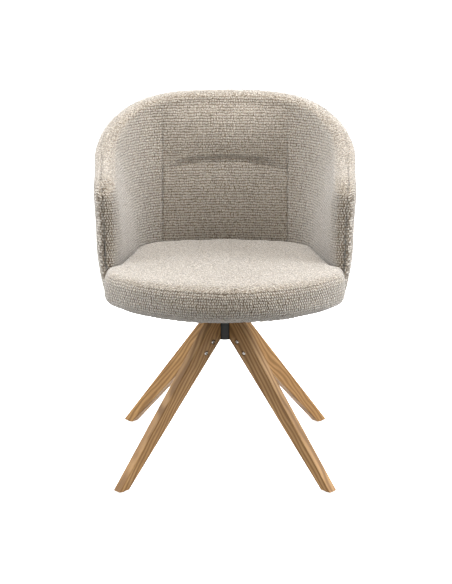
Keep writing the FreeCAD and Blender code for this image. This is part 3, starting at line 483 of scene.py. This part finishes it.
def dress_cad_nodes():
    for leg, grain in LEGS.items():
        dress(oak(leg + "_oak", *grain), leg)
    dress(black_powder_coat(), "hub_tube", "hub_blades", "swivel_plate")
    dress(brushed_steel("zinc_plate", (0.50, 0.49, 0.47)),
          "leg_bolts", "sleeve_nuts", "plate_bolts", "plate_washers", "tee_nuts", "shell_screws")
    dress(brushed_steel("ground_steel", (0.56, 0.56, 0.57)),
          "lower_race", "upper_race", "rollers", "spindle", "retaining_clip")
    dress(moulded_plastic("natural_nylon", (0.72, 0.70, 0.62), 0.4),
          "lower_bush", "upper_bush", "roller_cage", "retaining_washer")
    dress(moulded_plastic("black_plastic", (0.02, 0.02, 0.02), 0.45), "hub_cap", "glides")
    dress(birch_plywood(), "seat_board", "back_shell")


# Meshes

def points_of(mesh):
    found = np.empty(len(mesh.vertices) * 3)
    mesh.vertices.foreach_get("co", found)
    return found.reshape(-1, 3)


def normals_of(mesh):
    found = np.empty(len(mesh.vertices) * 3)
    mesh.vertex_normals.foreach_get("vector", found)
    return found.reshape(-1, 3)


def move_points(mesh, points):
    mesh.vertices.foreach_set("co", points.ravel())
    mesh.update()


def eased(value, reach):
    """0 at value 0 and 1 from reach on, smoothly."""
    part = np.clip(value / reach, 0, 1)
    return part * part * (3 - 2 * part)


def bell(distance, width):
    """1 at distance 0, fading on both sides."""
    return np.exp(-(distance / width) ** 2)


def apply_modifier(piece, kind, **settings):
    """Adds a modifier and keeps its result as the mesh."""
    modifier = piece.modifiers.new(kind.lower(), kind)
    for name, value in settings.items():
        setattr(modifier, name, value)
    bpy.context.view_layer.update()
    graph = bpy.context.evaluated_depsgraph_get()
    mesh = bpy.data.meshes.new_from_object(piece.evaluated_get(graph))
    piece.modifiers.clear()
    piece.data = mesh


def copy_of(node, name):
    piece = bpy.data.objects.new(name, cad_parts[node].data.copy())
    link(piece)
    return piece


def relax(mesh, hold):
    """Rounds off edges: each point moves halfway to the middle of its neighbours, where hold is 0."""
    edges = np.empty(len(mesh.edges) * 2, int)
    mesh.edges.foreach_get("vertices", edges)
    ends = np.concatenate([edges.reshape(-1, 2), edges.reshape(-1, 2)[:, ::-1]])
    counts = np.bincount(ends[:, 0], minlength=len(mesh.vertices))[:, None]
    points = points_of(mesh)
    for _ in range(RELAX_ROUNDS):
        sums = np.stack([np.bincount(ends[:, 0], points[ends[:, 1], axis], len(points))
                         for axis in range(3)], axis=1)
        points += (sums / counts - points) / 2 * (1 - hold[:, None])
    move_points(mesh, points)


def smooth_shaded(mesh):
    mesh.polygons.foreach_set("use_smooth", [True] * len(mesh.polygons))
    mesh.set_sharp_from_angle(angle=math.radians(SMOOTH_ANGLE))
    mesh.update()


# Seams

def cad_surface(nodes):
    """Joined CAD surfaces of some nodes, with shared corners, and a tree that finds their nearest point."""
    build = bmesh.new()
    for node in nodes:
        build.from_mesh(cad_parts[node].data)
    bmesh.ops.remove_doubles(build, verts=build.verts, dist=WELD)
    return build, BVHTree.FromBMesh(build)


def tree_of(points):
    tree = KDTree(len(points))
    for number, point in enumerate(points):
        tree.insert(point, number)
    tree.balance()
    return tree


def shared_edge(build, near):
    """Points along the sharp edges of one CAD pad that lie beside another's surface."""
    found = []
    for edge in build.edges:
        if len(edge.link_faces) == 2 and edge.calc_face_angle() < math.radians(SEAM_ANGLE):
            continue
        start, end = (corner.co for corner in edge.verts)
        count = max(1, math.ceil((end - start).length / SEAM_PITCH))
        for step in range(count + 1):
            point = start.lerp(end, step / count)
            other, _, _, gap = near.find_nearest(point)
            if gap < SEAM_GAP:
                found.append((point + other) / 2)
    return found


def seam_trees():
    """Each sewn pad's seams. The two pads of a seam share one line, which comes from the first."""
    surfaces = {node: cad_surface([node]) for node in SEWN}
    lines = {node: [] for node in SEWN}
    for first, node in enumerate(SEWN):
        for other in SEWN[first + 1:]:
            points = shared_edge(surfaces[node][0], surfaces[other][1])
            lines[node] += points
            lines[other] += points
    return {node: tree_of(points) for node, points in lines.items()}


def sew(mesh, seams):
    """Moves the points beside a seam onto it. Gives each point's distance to the seams."""
    points = points_of(mesh)
    gaps = np.empty(len(points))
    for number, point in enumerate(points):
        place, _, gaps[number] = seams.find(point)
        if gaps[number] < SEAM_CATCH:
            points[number] = place
            gaps[number] = 0
    move_points(mesh, points)
    return gaps


# Soft pieces

def swell(pads, gaps):
    """Inflates the pads as cloth under pressure, sewn down at their seams, and caps their movement."""
    starts = {}
    for node, pad in pads.items():
        starts[node] = points_of(pad.data)
        sewn = pad.vertex_groups.new(name="sewn")
        sewn.add([int(number) for number in np.flatnonzero(gaps[node] < VOXEL)], 1.0, "REPLACE")
        settings = pad.modifiers.new("cloth", "CLOTH").settings
        settings.use_pressure = True
        settings.uniform_pressure_force = PRESSURE
        settings.effector_weights.gravity = 0
        settings.quality = SWELL_QUALITY
        settings.vertex_group_mass = "sewn"
    for step in range(1, SWELL_FRAMES + 1):
        bpy.context.scene.frame_set(step)
    graph = bpy.context.evaluated_depsgraph_get()
    for node, pad in pads.items():
        move = points_of(pad.evaluated_get(graph).data) - starts[node]
        length = np.linalg.norm(move, axis=1, keepdims=True)
        caps = PADS[node].reach * eased(gaps[node], SEAM_EASE)[:, None]
        move *= np.minimum(1, caps / np.maximum(length, TINY))
        pad.modifiers.clear()
        pad.vertex_groups.clear()
        move_points(pad.data, starts[node] + move)
    bpy.context.scene.frame_set(1)


def skin_normals(mesh, near):
    """Point normals of the visible skin: faces that lie against a neighbour are left out."""
    count = len(mesh.polygons)
    normals, centres, areas = np.empty(count * 3), np.empty(count * 3), np.empty(count)
    totals, corners = np.empty(count, int), np.empty(len(mesh.loops), int)
    mesh.polygons.foreach_get("normal", normals)
    mesh.polygons.foreach_get("center", centres)
    mesh.polygons.foreach_get("area", areas)
    mesh.polygons.foreach_get("loop_total", totals)
    mesh.loops.foreach_get("vertex_index", corners)
    normals, centres = normals.reshape(-1, 3), centres.reshape(-1, 3)
    for number, centre in enumerate(centres):
        _, facing, _, gap = near.find_nearest(centre)
        if gap < CONTACT_GAP and np.dot(facing, normals[number]) < CONTACT_FACING:
            areas[number] = 0
    weighted = np.repeat(normals * areas[:, None], totals, axis=0)
    sums = np.stack([np.bincount(corners, weighted[:, axis], len(mesh.vertices))
                     for axis in range(3)], axis=1)
    return sums / np.maximum(np.linalg.norm(sums, axis=1, keepdims=True), TINY)


def lift(mesh, skin, heights):
    """Moves the skin by heights, and closes the gap where a pad lies against a neighbour."""
    against = np.linalg.norm(skin, axis=1) < SKIN_LEAST
    moves = np.where(against[:, None], normals_of(mesh) * CONTACT_GROWTH, skin * heights[:, None])
    move_points(mesh, points_of(mesh) + moves)


def waves(mesh, depth, length):
    """Heights of smooth noise, which is the same for all pieces."""
    return depth * np.array([noise.noise(Vector(point) / length) for point in points_of(mesh)])


def fold_depths(mesh):
    """Depth of the arched fold across the back panel, which fades out towards its ends."""
    points = points_of(mesh)
    height = FOLD_TOP - FOLD_ARCH * (points[:, 0] / FOLD_END) ** 2
    ends = 1 - eased(np.abs(points[:, 0]) - FOLD_FADE_START, FOLD_FADE)
    return FOLD_DEPTH * ends * bell(points[:, 2] - height, FOLD_WIDTH)


def rim_fold_depths(mesh):
    """Depth of the fold that runs along the cushion's front and ears."""
    points = points_of(mesh)
    ahead = eased(RIM_FOLD_START - points[:, 1], RIM_FOLD_EASE)
    return RIM_FOLD_DEPTH * ahead * bell(points[:, 2] - RIM_FOLD_HEIGHT, WELT_WIDTH)


def welt_depths(mesh, seams):
    """Depth of the sewn seams. The seam along the wall's top doesn't show."""
    points = points_of(mesh)
    gaps = np.array([seams.find(point)[2] for point in points])
    shown = eased(WELT_TOP - points[:, 2], WELT_FADE)
    return WELT * shown * bell(gaps, WELT_WIDTH)


def shape_pads(seams):
    """The pads as grids of equal pitch, sewn at their seams and swollen between them."""
    pieces, gaps = {}, {}
    for node, pad in PADS.items():
        piece = pieces[node] = copy_of(node, pad.name)
        apply_modifier(piece, "REMESH", mode="VOXEL", voxel_size=VOXEL)
        gaps[node] = np.full(len(piece.data.vertices), NO_SEAM)
        if node in SEWN:
            gaps[node] = sew(piece.data, seams[node])
        relax(piece.data, (gaps[node] < VOXEL / 2).astype(float))
    swell({node: piece for node, piece in pieces.items() if PADS[node].reach}, gaps)
    return pieces


def work_skin(node, piece, seams):
    """Works unevenness, folds, seams and loops into a pad's skin."""
    apply_modifier(piece, "SUBSURF", subdivision_type="SIMPLE", levels=1, render_levels=1)
    _, near = cad_surface([other for other in SEWN if other != node])
    mesh = piece.data
    heights = waves(mesh, HAND_WAVE, HAND_WAVE_LENGTH)
    if node in FOLDED:
        heights -= fold_depths(mesh)
    if node in SEWN:
        heights -= welt_depths(mesh, seams[node])
    else:
        heights -= rim_fold_depths(mesh)
    heights += waves(mesh, FUZZ, FUZZ_LENGTH)
    lift(mesh, skin_normals(mesh, near), heights)
    smooth_shaded(mesh)


def make_soft_pieces():
    fabrics = {slot: boucle(name) for slot, name in LOOP_FABRICS.items()}
    seams = seam_trees()
    for node, piece in shape_pads(seams).items():
        pad = PADS[node]
        work_skin(node, piece, seams)
        put_on(piece, fabrics[pad.slot])
        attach(piece, "seat")
        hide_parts(node)


# Cloth under the seat

def cut_into_squares(build):
    """Cuts a flat mesh along both directions, so that it can sag."""
    corners = [corner.co for corner in build.verts]
    for axis, normal in ((0, (1, 0, 0)), (1, (0, 1, 0))):
        low, high = min(c[axis] for c in corners), max(c[axis] for c in corners)
        for step in range(1, math.ceil((high - low) / CLOTH_PITCH)):
            place = Vector((0, 0, 0))
            place[axis] = low + step * CLOTH_PITCH
            bmesh.ops.bisect_plane(build, geom=build.verts[:] + build.edges[:] + build.faces[:],
                                   plane_co=place, plane_no=normal)


def beyond_plate(point):
    return max(abs(point.x), abs(point.y)) - PLATE_HALF


def make_dust_cover():
    """Thin cloth on the board's underside. It hangs a little between the plate and its own edge."""
    build, _ = cad_surface(["dust_cover"])
    others = [face for face in build.faces if face.normal.z > CLOTH_FACING]
    bmesh.ops.delete(build, geom=others, context="FACES")
    area = sum(face.calc_area() for face in build.faces)
    cut_into_squares(build)
    edge = tree_of([corner.co for corner in build.verts
                    if corner.is_boundary and beyond_plate(corner.co) > 0])
    for corner in build.verts:
        hang = min(eased(edge.find(corner.co)[2], CLOTH_EASE), eased(beyond_plate(corner.co), CLOTH_EASE))
        wave = 1 - CLOTH_WAVE_SHARE + CLOTH_WAVE_SHARE * noise.noise(corner.co / CLOTH_WAVE)
        corner.co.z += CLOTH_THICKNESS - CLOTH_SAG * hang * wave
    mesh = bpy.data.meshes.new("dust_cloth")
    build.to_mesh(mesh)
    piece = bpy.data.objects.new("dust_cloth", mesh)
    link(piece)
    apply_modifier(piece, "SOLIDIFY", thickness=CLOTH_THICKNESS, offset=0)
    put_on(piece, non_woven_cloth())
    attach(piece, "seat")
    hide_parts("dust_cover")


place_camera()
stage_floor()
light_studio()
dress_cad_nodes()
make_soft_pieces()
make_dust_cover()
